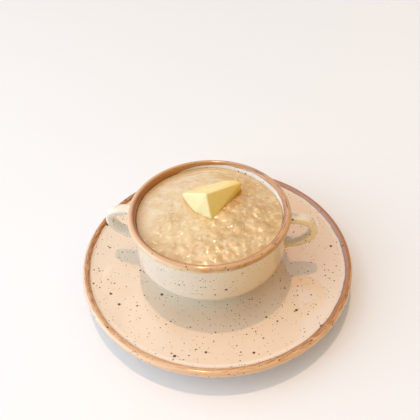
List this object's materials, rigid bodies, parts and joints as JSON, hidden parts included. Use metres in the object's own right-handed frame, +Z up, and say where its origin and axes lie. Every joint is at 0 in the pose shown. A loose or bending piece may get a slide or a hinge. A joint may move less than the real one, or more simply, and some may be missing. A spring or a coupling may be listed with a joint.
{
  "type": "bowl of porridge",
  "caption": "Two-handled round stoneware bowl filled with lumpy oat porridge, topped with a wedge of butter, standing on a wide shallow saucer with a raised brown edge.",
  "frame": {"origin": "centre of the saucer's foot ring, on the surface that it stands on", "axes": "+Z up; X runs from the left handle to the right one, and -Y is the front, which the picture shows"},
  "size_m": [0.21, 0.21, 0.0736],
  "materials": {
    "saucer_glaze": "gloss",
    "bowl_glaze": "gloss",
    "porridge": "satin",
    "butter": "satin"
  },
  "bodies": {
    "root": {"saucer": "saucer_glaze", "bowl": "bowl_glaze", "porridge": "porridge", "butter": "butter"}
  },
  "joints": []
}
